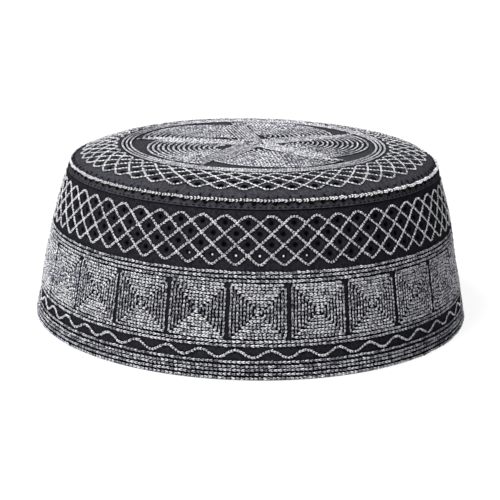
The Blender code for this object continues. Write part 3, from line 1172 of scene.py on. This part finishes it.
@dataclass
class SideBand:
    """The side band: tapered cloth with four rows of eyelets, and the rows, wave and lattice on it."""

    form: CapForm
    tuck_height: float = 2.2 * MM
    hem_fold: float = 0.9 * MM
    eyelets: int = 58
    eyelet_angle: float = 2.1
    eyelet_low: float = 47.0 * MM
    eyelet: Eyelet = Eyelet(radius=0.47 * MM, pinch_radius=1.8 * MM, pinch_depth=0.8 * MM)
    lattice_pitch: float = 4.0 * MM
    # Rows that the lattice's thread climbs before it turns. It has no factor in common with the count of
    # eyelets, so one thread makes the whole lattice and closes after as many rounds of the cap.
    lattice_run: int = 5
    foot_rounding: float = 0.14
    head_rounding: float = 0.42
    waves: int = 43
    wave_angle: float = -3.4
    wave_middle: float = 10.3 * MM
    wave_reach: float = 1.4 * MM
    hem_rows: tuple[float, ...] = (1.1 * MM, 2.65 * MM, 4.25 * MM, 5.55 * MM, 7.35 * MM)
    lower_rows: tuple[float, ...] = (13.5 * MM, 15.0 * MM)
    upper_rows: tuple[float, ...] = (37.75 * MM, 39.3 * MM, 40.85 * MM)
    drift: float = 0.12 * MM
    # Points up the section, and rows of faces below and above the eyelets.
    section_points: int = 260
    rows_below: int = 15
    rows_above: int = 4

    def __post_init__(self) -> None:
        """Lays out the cloth's section."""
        heights = np.linspace(0.0, self.form.lip_height - self.form.seat, self.section_points)
        section = np.stack([self.form.wall_radius(heights), heights], axis=-1)
        self.panel = Panel(self.form, section, self.form.band_cloth)

    def make_cloth(self, material: bpy.types.Material) -> None:
        """Builds the band's cloth, from the folded hem to the top tucked under the crown's lip."""
        form, panel = self.form, self.panel
        first, second = panel.at_height(np.array([self.eyelet_low, self.eyelet_low + self.lattice_pitch]))
        pitch = float(second - first)
        rows = EyeletRows(self.eyelet, self.eyelets, self.eyelet_angle, float(first), pitch)
        shell = Shell(panel, rows)
        hem = float(panel.at_height(self.hem_fold))
        shell.add_plain(np.linspace(hem, rows.low, self.rows_below))
        shell.add_eyelets()
        shell.add_plain(np.linspace(rows.high, panel.length, self.rows_above))
        shell.add_hem(hem)
        ledge = float(form.wall_radius(form.lip_height)) - form.crown_cloth - form.seat
        tucked_top = form.lip_height + self.tuck_height - 2 * form.seat
        tucked = float(form.wall_radius(tucked_top)) - form.crown_cloth - form.seat
        outer, inner = shell.ends(panel.length)
        steps = ((ledge, form.lip_height), (tucked, tucked_top), (tucked - form.band_cloth, tucked_top))
        between = [form.place(shell.angles, radius, height) for radius, height in steps]
        shell.add_edge([outer, *between, inner])
        dress(shell.finish("band_cloth", material), Slot.CLOTH, ("side_band",))

    def path(
        self, angle: np.ndarray, height: np.ndarray, closed: bool = True, fullness: float = 1.0
    ) -> NeedlePath:
        """A needle path on the band from angles and heights."""
        return self.panel.path(angle, self.panel.at_height(height), closed, fullness=fullness)

    def round_row(self, height: float, heading: Heading) -> NeedlePath:
        """A row of stitches round the band, as level as a hand keeps it."""
        angle = heading.value * np.linspace(0.0, 360.0, ROUND_STEPS, endpoint=False)
        return self.path(angle, height + wander(angle, self.drift, int(height / self.drift)))

    def sew_rows(self, embroiderer: Embroiderer) -> None:
        """Sews the hem rows, the pair under the squares and the three above them."""
        left, right = Heading.LEFTWARDS, Heading.RIGHTWARDS
        # The hem rows are a little narrower and darker in tone than the rows above them.
        lighter_style = RowStyle(length=1.75 * MM, overlap=0.94, width=0.92, tone_low=0.38, tone_high=0.88)
        darker_style = RowStyle(length=1.75 * MM, overlap=0.94, width=0.88, tone_low=0.32, tone_high=0.82)
        for name, heights, ways, style in (
            ("hem_row", self.hem_rows, (left, right, right, left, right), darker_style),
            ("lower_row", self.lower_rows, (right, left), lighter_style),
            ("upper_row", self.upper_rows, (left, right, left), lighter_style),
        ):
            paths = [self.round_row(height, way) for height, way in zip(heights, ways)]
            embroiderer.sew(f"{name}_stitches", paths, style, (f"{name}s",))

    def sew_wave(self, embroiderer: Embroiderer) -> None:
        """Sews the wave between the hem rows and the lower rows."""
        angle = np.linspace(0.0, 360.0, 2 * ROUND_STEPS, endpoint=False)
        phase = np.radians((angle - self.wave_angle) * self.waves)
        height = self.wave_middle + self.wave_reach * np.cos(phase)
        style = RowStyle(1.2 * MM, overlap=0.88, width=0.88, tone_low=0.6, tone_high=1.3, unevenness=0.15)
        embroiderer.sew("wave_stitches", [self.path(angle, height)], style)

    def sew_lattice(self, embroiderer: Embroiderer) -> None:
        """Sews the lattice: one thread that climbs and falls between the eyelets until it meets its start."""
        run = self.lattice_run
        angle = np.linspace(0.0, 360.0 * run, 2 * run * ROUND_STEPS, endpoint=False)
        rows = rounded_zigzag(angle / (180.0 / self.eyelets), run, self.foot_rounding, self.head_rounding)
        height = self.eyelet_low + self.lattice_pitch * (rows - 1) + wander(angle, self.drift, self.eyelets)
        style = RowStyle(1.2 * MM, overlap=0.88, width=0.86, tone_low=0.6, tone_high=1.3, unevenness=0.15)
        embroiderer.sew("band_lattice_stitches", [self.path(angle + self.eyelet_angle, height)], style)


@dataclass
class SquareRound:
    """The squares round the band, each sewn inwards, with a hole at every corner to keep it sharp."""

    band: SideBand
    count: int = 24
    first_angle: float = 1.8
    middle: float = 26.35 * MM
    half_width: float = 10.5 * MM
    half_height: float = 9.85 * MM
    rounds: int = 8
    column_pitch: float = 1.33 * MM
    row_pitch: float = 1.24 * MM
    side_points: int = 10
    # One stitch closes the last round, and one fills the middle.
    last_stitch: float = 1.68 * MM
    # Rows along the band are sewn wider and rows up or down it narrower, and the same share paints them
    # lighter or darker: painted light, as level thread catches more of the light from above.
    level_fullness_and_light: float = 1.13
    upright_fullness_and_light: float = 0.9
    # Each side starts late by up to this share of its length: stitches of two rounds seldom line up.
    late_start: float = 0.035
    # Every square is a little off true, as handwork is: degrees of lean, share of growth, slide in mm.
    lean: float = 0.8
    growth: float = 0.012
    slide_mm: float = 0.12
    seed: int = 24

    def sides(self) -> list[np.ndarray]:
        """The sides of one square in sewing order, in metres along the band and up it."""
        corners = []
        for number in range(self.rounds):
            w = self.half_width - self.column_pitch * number
            h = self.half_height - self.row_pitch * number
            start = w + self.column_pitch if number else w
            corners += [(start, h), (-w, h), (-w, -h), (w, -h)]
        steps = np.linspace(0.0, 1.0, self.side_points)[:, None]
        ends = np.array(corners)
        sides = [start + (end - start) * steps for start, end in zip(ends, ends[1:])]
        sides.append(ends[-1] + np.array([(0.0, 0.0), (0.0, self.last_stitch)]))
        sides.append(np.array([(0.5, 0.0), (-0.5, 0.0)]) * self.last_stitch)
        return sides

    def sew(self, embroiderer: Embroiderer) -> None:
        """Sews each square."""
        style = RowStyle(length=1.4 * MM, width=0.86, tone_low=0.42, tone_high=0.87, unevenness=0.14)
        luck = np.random.default_rng(self.seed)
        radius = float(self.band.form.wall_radius(self.middle))
        for number in range(self.count):
            lean = math.radians(luck.uniform(-self.lean, self.lean))
            grow = 1 + luck.uniform(-self.growth, self.growth)
            slide, lift = luck.uniform(-self.slide_mm, self.slide_mm, 2) * MM
            paths = []
            for side in self.sides():
                side[0] += (side[-1] - side[0]) * luck.uniform(0.0, self.late_start)
                x, y = side.T
                along = (x * math.cos(lean) - y * math.sin(lean)) * grow + slide
                up = (x * math.sin(lean) + y * math.cos(lean)) * grow + lift
                angle = self.first_angle + 360.0 / self.count * number + np.degrees(along / radius)
                fullness = self.level_fullness_and_light if np.ptp(x) > np.ptp(y) else self.upright_fullness_and_light
                paths.append(self.band.path(angle, self.middle + up, closed=False, fullness=fullness))
            label = f"{number + 1:02d}"
            embroiderer.sew(f"square_stitches_{label}", paths, style, (f"square_{label}",))


@dataclass
class Crown:
    """The crown: cloth with a turned lip, the seam chain, the outer lattice and the rings."""

    form: CapForm
    cells: int = 49
    tip_angle: float = -2.6
    lattice_outer: float = 75.0 * MM
    lattice_inner: float = 57.8 * MM
    # As on the band, one thread makes the whole lattice.
    lattice_run: int = 5
    lattice_drift: float = 0.15 * MM
    tip_rounding: float = 0.28
    # The crown's eyelets are pulled wider than the band's, with less of a pinch.
    eyelet: Eyelet = Eyelet(radius=1.2 * MM, pinch_radius=1.66 * MM, pinch_depth=0.35 * MM)
    ring_rows: tuple[float, ...] = (53.0 * MM, 54.8 * MM, 56.6 * MM)
    # The section's points lie closer together on the shoulder than on the flat of the crown.
    skirt_points: int = 12
    shoulder_end: float = 60 * MM
    shoulder_points: int = 120
    flat_start: float = 59.8 * MM
    flat_points: int = 80
    # The cloth has rows of points at these arc lengths on its lip, this many from the seam to the eyelets,
    # and at these radii inside the lattice.
    lip_rows: tuple[float, ...] = (0.0, 1.2 * MM, 2.4 * MM)
    seam_rows: int = 5
    inner_rows_mm: tuple[float, ...] = (52, 44, 34, 24, 14, 6)
    pole_radius: float = 1.0 * MM
    # The chain stands this far off the cloth's edge.
    chain_lift: float = 0.05 * MM
    # A hand stitch strays from its even place by up to this share of the pitch.
    stray: float = 0.12
    tick_pitch: float = 4.5 * MM
    # Notches start this far under the chain and ticks this far above it. Both reach on from there.
    notch_below: float = 0.5 * MM
    tick_above: float = 1.1 * MM
    tick_reach_mm: tuple[float, float] = (1.1, 1.6)
    # Shares of the pitch: half of a notch's width, a tick's place beside it, and its slant at most.
    notch_half: float = 0.2
    tick_aside: float = 0.3
    tick_slant: float = 0.1
    lip_stitch_pitch: float = 2.4 * MM
    lip_stitch_share: tuple[float, float] = (0.38, 0.62)
    lip_stitch_up: float = 0.7 * MM
    lip_thread: float = 0.24 * MM

    def __post_init__(self) -> None:
        """Lays out the cloth's section, from the lip over the seam to the middle."""
        form = self.form
        lip = (float(form.wall_radius(form.lip_height)) + form.lip_stands_out, form.lip_height)
        shoulder = np.linspace(form.seam_radius, self.shoulder_end, self.shoulder_points)
        radii = np.concatenate([shoulder, np.linspace(self.flat_start, 0.0, self.flat_points)])
        over = np.stack([radii, form.crown_height(radii)], axis=-1)
        skirt = np.linspace(lip, over[0], self.skirt_points, endpoint=False)
        self.panel = Panel(form, np.concatenate([skirt, over]), form.crown_cloth)
        self.seam_s = float(self.panel.arc[len(skirt)])
        self.outer_s = float(self.panel.at_radius(self.lattice_outer))
        inner_s = float(self.panel.at_radius(self.lattice_inner))
        self.lattice_pitch = (inner_s - self.outer_s) / self.lattice_run

    def make_cloth(self, material: bpy.types.Material) -> None:
        """Builds the crown's cloth, closed at its middle and at the lip's edge."""
        panel, pitch = self.panel, self.lattice_pitch
        rows = EyeletRows(self.eyelet, self.cells, self.tip_angle, self.outer_s + pitch, pitch)
        shell = Shell(panel, rows)
        shell.add_plain(np.concatenate([self.lip_rows, np.linspace(self.seam_s, rows.low, self.seam_rows)]))
        shell.add_eyelets()
        pole = float(panel.at_radius(self.pole_radius))
        shell.add_plain(np.array([rows.high, *panel.at_radius(np.array(self.inner_rows_mm) * MM), pole]))
        outer, inner = shell.ends(0.0)
        shell.add_sheet(np.stack([inner, outer]), np.stack([panel.uv(shell.angles, 0.0)] * 2))
        for ring, order in zip(shell.ends(pole), (1, -1)):
            centre = np.broadcast_to(ring[:-1].mean(axis=0), ring.shape)
            shell.add_sheet(np.stack([ring, centre][::order]), np.stack([ring[:, :2], centre[:, :2]]))
        dress(shell.finish("crown_cloth", material), Slot.CLOTH, ("crown",))

    def plan_path(self, x: np.ndarray, y: np.ndarray) -> NeedlePath:
        """An open needle path on the crown from its plan."""
        s = self.panel.at_radius(np.hypot(x, y))
        return self.panel.path(np.degrees(np.arctan2(x, -y)), s, closed=False)

    def level_path(self, s: float, stands_out: float = 0.0) -> NeedlePath:
        """A needle path once round the crown at one arc length, sewn leftwards."""
        angle = np.linspace(360.0, 0.0, ROUND_STEPS, endpoint=False)
        return self.panel.path(angle, np.full(angle.shape, s), closed=True, stands_out=stands_out)

    def sew_seam_chain(self, embroiderer: Embroiderer) -> None:
        """Sews the heavy bright chain along the edge between crown and lip."""
        path = self.level_path(self.seam_s, self.chain_lift)
        style = RowStyle(1.35 * MM, 0.76, width=1.15, lift=1.4, tone_low=1.0, tone_high=1.4, unevenness=0.25)
        embroiderer.sew("seam_chain_stitches", [path], style, ("seam_chain",))

    def sew_ticks(self, thread: bpy.types.Material) -> None:
        """Sews the black thread that holds the crown to the band: notches under the chain, ticks above."""
        count = round(2 * math.pi * self.form.seam_radius / self.tick_pitch)
        pitch = 360.0 / count
        below, above = self.seam_s - self.notch_below, self.seam_s + self.tick_above
        luck = np.random.default_rng(count)
        strokes = []
        for number in range(count):
            angle = pitch * (number + luck.uniform(-self.stray, self.stray))
            reach = luck.uniform(*self.tick_reach_mm) * MM
            for side in (-self.notch_half, self.notch_half):
                strokes.append((angle + side * pitch, below, angle, below - reach))
            upper = angle + self.tick_aside * pitch
            slant = luck.uniform(-self.tick_slant, self.tick_slant) * pitch
            strokes.append((upper, above, upper + slant, above + reach))
        HandStitches().make("seam_hand_stitches", self.panel, strokes, thread)

    def sew_lip(self, thread: bpy.types.Material) -> None:
        """Sews the running stitch along the lip's edge."""
        count = round(2 * math.pi * float(self.panel.radius(0.0)) / self.lip_stitch_pitch)
        pitch, s = 360.0 / count, self.lip_stitch_up
        luck = np.random.default_rng(count)
        strokes = []
        for number in range(count):
            start = pitch * (number + luck.uniform(-self.stray, self.stray))
            strokes.append((start, s, start + pitch * luck.uniform(*self.lip_stitch_share), s))
        HandStitches(self.lip_thread).make("lip_running_stitches", self.panel, strokes, thread)

    def sew_lattice(self, embroiderer: Embroiderer) -> None:
        """Sews the lattice round the flat of the crown."""
        run = self.lattice_run
        angle = np.linspace(0.0, 360.0 * run, 2 * run * ROUND_STEPS, endpoint=False)
        rows = rounded_zigzag(angle / (180.0 / self.cells), run, self.tip_rounding, self.tip_rounding)
        s = self.outer_s + self.lattice_pitch * rows + wander(angle, self.lattice_drift, self.cells)
        style = RowStyle(1.5 * MM, overlap=0.9, width=0.78, lift=0.85, tone_low=0.55, tone_high=1.15)
        path = self.panel.path(angle + self.tip_angle, s, closed=True)
        embroiderer.sew("crown_lattice_stitches", [path], style)

    def sew_rings(self, embroiderer: Embroiderer) -> None:
        """Sews the rings round the rosette."""
        paths = [self.level_path(float(self.panel.at_radius(radius))) for radius in self.ring_rows]
        style = RowStyle(1.15 * MM, 1.2, width=0.8, tone_low=0.48, tone_high=0.78, unevenness=0.05)
        embroiderer.sew("crown_ring_stitches", paths, style, ("crown_rows",))


@dataclass
class Rosette:
    """Five petals round a heart, each a fan of arcs about its own focus, with rows along its sides."""

    crown: Crown
    petals: int = 5
    first_angle: float = 12.0
    # Each petal's arcs have one centre, which lies off the petal's axis, so that the rosette looks to turn.
    focus_radius: float = 16.3 * MM
    focus_lean: float = 16.6
    last_arc: float = 33.6 * MM
    arc_pitch: float = 2.15 * MM
    # The smallest arc of each petal: the cloth inside it stays bare.
    first_arcs: tuple[float, ...] = (1.8 * MM, 1.8 * MM, 3.0 * MM, 5.0 * MM, 5.0 * MM)
    arc_sweep: float = 112.0
    arc_points: int = 240
    far_points: int = 28
    # An arc with no more points than this clear of the edge rounds isn't sewn.
    too_few_points: int = 6
    edge_rounds: int = 4
    row_pitch: float = 1.3 * MM
    tip_radius: float = 4.6 * MM
    corner_cut: float = 2.4 * MM
    spacing: float = 0.6 * MM
    # Each point of the far arc is rounded off by this share of the spacing.
    far_cut: float = 0.2
    spike: tuple[float, float] = (43.0 * MM, 51.4 * MM)
    spike_points: int = 20
    heart_radius: float = 0.6 * MM
    heart_turns: float = 2.6
    heart_points: int = 120

    @property
    def half(self) -> float:
        """Half of the angle that a petal spans, in radians."""
        return math.pi / self.petals

    @property
    def focus(self) -> np.ndarray:
        """The arcs' centre in a petal's own plan: along its axis and aside of it."""
        lean = math.radians(self.focus_lean)
        return self.focus_radius * np.array([math.cos(lean), math.sin(lean)])

    def arc(self, radius: float, sweep: np.ndarray) -> np.ndarray:
        """Points of an arc about the focus."""
        return self.focus + radius * np.stack([np.cos(sweep), np.sin(sweep)], axis=-1)

    def side_line(self, side: int, inset: float) -> tuple[np.ndarray, np.ndarray]:
        """A line inside one straight side of a petal.

        Args:
            side: 1 or -1, which side.
            inset: how far inside the side the line lies.

        Returns:
            The point where the line meets the petal's axis, and its direction outwards.
        """
        start = np.array([inset / math.sin(self.half), 0.0])
        return start, np.array([math.cos(self.half), side * math.sin(self.half)])

    def meet_arc(self, side: int, inset: float, radius: float) -> np.ndarray:
        """Where an arc about the focus meets a line inside one side."""
        start, way = self.side_line(side, inset)
        back = start - self.focus
        middle = -float(back @ way)
        rest = radius**2 - float(back @ back) + middle**2
        return start + way * (middle + math.sqrt(rest))

    def edge_round(self, number: int) -> np.ndarray:
        """A round along the petal's edge: out along one side, over the far arc and back along the other."""
        inset = (number + 0.5) * self.row_pitch
        radius = self.last_arc - number * self.arc_pitch
        turns, starts = [], []
        for side in (-1, 1):
            turns.append(math.atan2(*(self.meet_arc(side, inset, radius) - self.focus)[::-1]))
            start, way = self.side_line(side, inset)
            starts.append(start + way * max(0.0, self.tip_radius - float(np.hypot(*start))))
        far = self.arc(radius, np.linspace(*turns, self.far_points))
        line = np.concatenate([starts[:1], far, starts[1:]])
        cuts = np.full(len(line) - 2, self.far_cut * self.spacing)
        cuts[0] = cuts[-1] = self.corner_cut
        return round_corners(line, cuts, self.spacing)

    def arcs(self, first: float) -> list[np.ndarray]:
        """The arcs inside the edge rounds, from the largest to the smallest."""
        margin = (self.edge_rounds + 0.25) * self.row_pitch
        sweep = np.radians(np.linspace(-self.arc_sweep, self.arc_sweep, self.arc_points))
        found = []
        for radius in np.arange(self.last_arc - self.edge_rounds * self.arc_pitch, first, -self.arc_pitch):
            line = self.arc(radius, sweep)
            clear = line[:, 0] * math.sin(self.half) - np.abs(line[:, 1]) * math.cos(self.half) > margin
            if np.count_nonzero(clear) > self.too_few_points:
                found.append(line[clear])
        return found

    def petal_paths(self, number: int) -> list[NeedlePath]:
        """The needle paths of one petal."""
        turn = math.radians(self.first_angle + 360.0 / self.petals * number)
        outwards = np.array([math.sin(turn), -math.cos(turn)])
        aside = np.array([math.cos(turn), math.sin(turn)])
        lines = [self.edge_round(n) for n in range(self.edge_rounds)] + self.arcs(self.first_arcs[number])
        plans = [line[:, :1] * outwards + line[:, 1:] * aside for line in lines]
        return [self.crown.plan_path(plan[:, 0], plan[:, 1]) for plan in plans]

    def sew(self, embroiderer: Embroiderer) -> None:
        """Sews the petals, the heart and the short spikes between the petals' far ends."""
        style = RowStyle(length=1.5 * MM, overlap=0.94, width=0.84, tone_low=0.44, tone_high=0.86)
        for number in range(self.petals):
            label = number + 1
            embroiderer.sew(f"petal_stitches_{label}", self.petal_paths(number), style, (f"petal_{label}",))
        turn = np.linspace(0.0, self.heart_turns, self.heart_points)
        spread = self.heart_radius + self.row_pitch * turn
        theta = 2 * math.pi * turn
        heart = [self.crown.plan_path(spread * np.cos(theta), spread * np.sin(theta))]
        reach = np.linspace(*self.spike, self.spike_points)
        for number in range(self.petals):
            between = math.radians(self.first_angle + 360.0 / self.petals * (number + 0.5))
            heart.append(self.crown.plan_path(reach * math.sin(between), -reach * math.cos(between)))
        # The heart and the spikes are darker in tone than the petals.
        darker_style = RowStyle(tone_low=0.3, tone_high=0.6)
        embroiderer.sew("rosette_heart_stitches", heart, darker_style, ("rosette_heart",))


@dataclass(frozen=True)
class Studio:
    """The white board, soft light and camera of a plain product photograph."""

    frame_px: float = 500.0
    sensor: float = 36.0
    focal_px: float = 1345.04
    camera_at: tuple[float, float, float] = (-0.70 * MM, -573.87 * MM, 186.99 * MM)
    pitch: float = 15.72
    roll: float = 1.06
    board: float = 12.0
    surround: float = 0.25
    # A broad soft light from above the camera's left and a weaker one from the right: name, azimuth,
    # elevation, strength and softness.
    lights: tuple[tuple[str, float, float, float, float], ...] = (
        ("key", -60.0, 60.0, 5.3, 16.0),
        ("fill", 20.0, 35.0, 0.2, 40.0),
    )

    def build(self) -> None:
        """Sets up the board, the lights and the camera."""
        self.lay_board()
        self.hang_lights()
        self.place_camera()

    def lay_board(self) -> None:
        """Lays the board under the rim."""
        mesh = bpy.data.meshes.new("board")
        half = self.board / 2
        corners = [(-half, -half, 0.0), (half, -half, 0.0), (half, half, 0.0), (-half, half, 0.0)]
        mesh.from_pydata(corners, [], [(0, 1, 2, 3)])
        mesh.materials.append(WhiteBoard().material())
        put_in_scene("board", mesh)

    def hang_lights(self) -> None:
        """Hangs the lights in a pale surround."""
        world = bpy.data.worlds.new("surround")
        bpy.context.scene.world = world
        world.use_nodes = True
        tree = world.node_tree
        set_inputs(tree, tree.nodes["Background"], {"Color": linear("ffffff"), "Strength": self.surround})
        for name, azimuth, elevation, strength, softness in self.lights:
            lamp = bpy.data.lights.new(name, "SUN")
            lamp.energy = strength
            lamp.angle = math.radians(softness)
            light = put_in_scene(name, lamp)
            a, e = math.radians(azimuth), math.radians(elevation)
            towards = Vector((math.sin(a) * math.cos(e), -math.cos(a) * math.cos(e), math.sin(e)))
            light.rotation_mode = "QUATERNION"
            light.rotation_quaternion = towards.to_track_quat("Z", "Y")

    def place_camera(self) -> None:
        """Puts the camera where the photograph was taken from."""
        camera = bpy.data.cameras.new("camera")
        camera.sensor_width = self.sensor
        camera.lens = self.focal_px / self.frame_px * self.sensor
        p, r = math.radians(self.pitch), math.radians(self.roll)
        ahead = Vector((0.0, math.cos(p), -math.sin(p)))
        side, up = Vector((1.0, 0.0, 0.0)), Vector((0.0, math.sin(p), math.cos(p)))
        right = side * math.cos(r) + up * math.sin(r)
        top = up * math.cos(r) - side * math.sin(r)
        holder = put_in_scene("camera", camera)
        axes = Matrix((right, top, -ahead)).transposed().to_4x4()
        holder.matrix_world = Matrix.Translation(self.camera_at) @ axes
        bpy.context.scene.camera = holder


def main() -> None:
    """Builds the cap's looks round the frame, piece by piece."""
    logging.basicConfig(level=logging.INFO, format="%(name)s: %(message)s")
    for leftover in list(bpy.data.objects):
        bpy.data.objects.remove(leftover, do_unlink=True)
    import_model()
    bpy.context.scene.view_settings.view_transform = "Standard"
    form = CapForm.from_frame()
    band = SideBand(form)
    # Band and crown are one cotton. The band's darker yarns and its darkening at a slant are painted shade.
    band_cotton_painted_darker = BlackCotton("black_cotton_band_painted_shade", yarn_light="33323a", slant_painted_shade=0.45)
    band.make_cloth(band_cotton_painted_darker.material())
    crown = Crown(form)
    # The crown keeps the lighter yarns, painted light, and a steeper painted shade in its eyelets' pinches.
    crown.make_cloth(BlackCotton(hollow_painted_shade_power=9.0).material())
    fine = Embroiderer(SilverThread().material())
    band.sew_rows(fine)
    SquareRound(band).sew(fine)
    crown.sew_rings(fine)
    Rosette(crown).sew(fine)
    # The same thread with deeper painted shade at each stitch's ends and stronger painted highlights.
    deeper_shade_embroiderer = Embroiderer(SilverThread("silver_thread_deeper_painted_shade", dive_painted_shade=0.6, fleck_contrast=2.2).material())
    band.sew_wave(deeper_shade_embroiderer)
    band.sew_lattice(deeper_shade_embroiderer)
    crown.sew_lattice(deeper_shade_embroiderer)
    crown.sew_seam_chain(deeper_shade_embroiderer)
    sewing_thread = BlackThread().material()
    crown.sew_ticks(sewing_thread)
    crown.sew_lip(sewing_thread)
    Studio().build()


if __name__ == "__main__":
    main()
